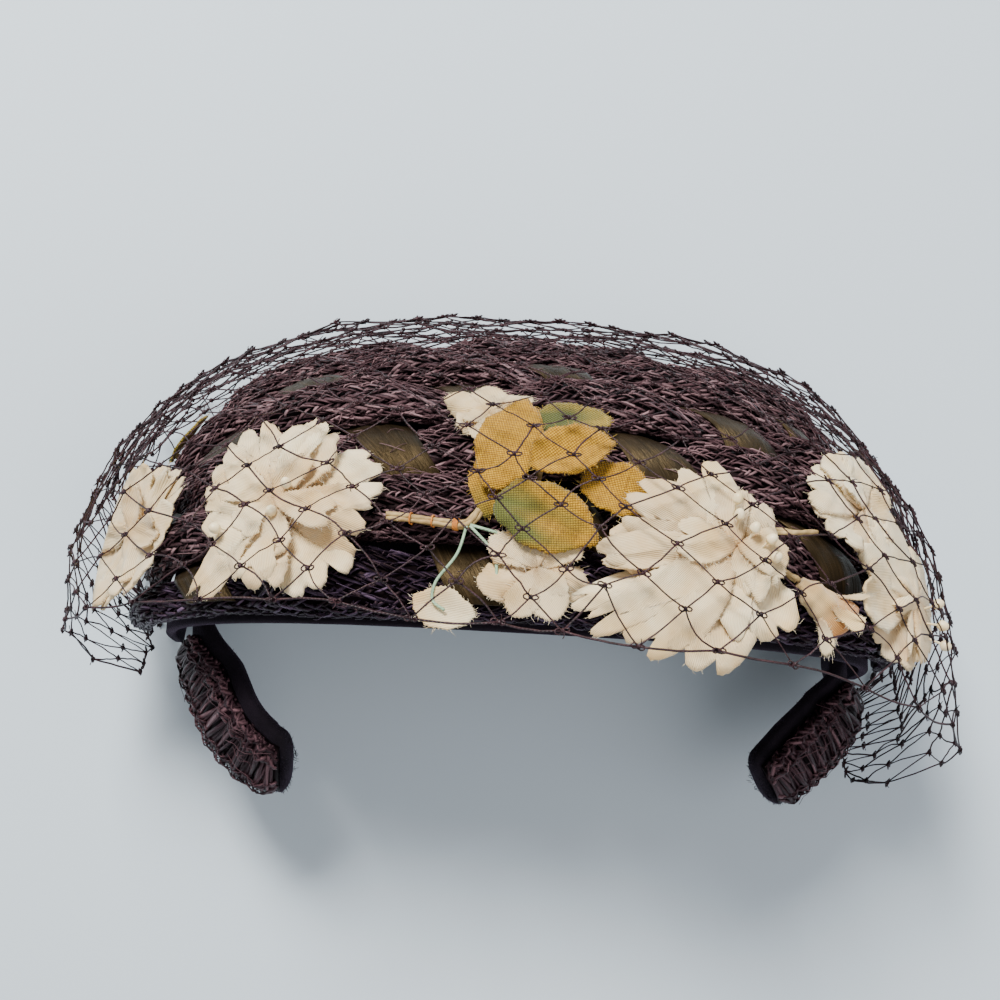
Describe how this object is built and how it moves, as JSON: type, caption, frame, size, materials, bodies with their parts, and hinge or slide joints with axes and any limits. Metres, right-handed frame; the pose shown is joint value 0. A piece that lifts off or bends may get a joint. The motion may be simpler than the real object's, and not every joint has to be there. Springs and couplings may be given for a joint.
{
  "type": "half hat",
  "caption": "Woven half hat that grips the front of the head, with cloth flowers, linen leaves and a wide-meshed net veil, lying on its open back rim.",
  "frame": {"origin": "middle of the cap's back rim, at the top of the worn hat, on the plane that the hat lies on", "axes": "+Z towards the front of the worn hat, up off the surface that it lies on; +Y towards the top of the worn hat; +X towards the side where the veil falls lower"},
  "size_m": [0.2001, 0.1204, 0.0875],
  "materials": {
    "velvet": "black pile velvet",
    "raffia": "dark aubergine raffia, satin strands",
    "straw": "taupe straw ribbon, satin with lengthwise grain",
    "petal": "cream ribbed cotton cloth with pinked edges",
    "leaf": "mustard and olive linen",
    "stem": "paper-wrapped wire",
    "net": "dark aubergine knotted net"
  },
  "bodies": {
    "root": {"velvet_cap": "velvet", "velvet_arm_right": "velvet", "velvet_arm_left": "velvet", "raffia_arm_right": "raffia", "raffia_arm_left": "raffia", "raffia_cord_1": "raffia", "raffia_cord_2": "raffia", "raffia_cord_3": "raffia", "raffia_cord_4": "raffia", "raffia_cord_5": "raffia", "raffia_cord_6": "raffia", "raffia_cord_7": "raffia", "straw_ribbon_1": "straw", "straw_ribbon_2": "straw", "straw_ribbon_3": "straw", "straw_ribbon_4": "straw", "straw_ribbon_5": "straw", "straw_ribbon_6": "straw", "straw_ribbon_7": "straw", "straw_ribbon_8": "straw", "leaf_behind": "leaf", "leaf_small": "leaf", "leaf_right": "leaf", "leaf_up": "leaf", "leaf_low": "leaf", "leaf_folded": "leaf", "leaf_dark": "leaf", "stem_left": "stem", "stem_right": "stem", "stem_bud": "stem", "bud_right": "petal", "flower_left_side": "petal", "flower_left_front": "petal", "flower_top": "petal", "flower_small_front": "petal", "flower_right_front": "petal", "flower_right_upper": "petal", "flower_right_side": "petal", "petal_loose": "petal", "veil": "net"}
  },
  "joints": []
}
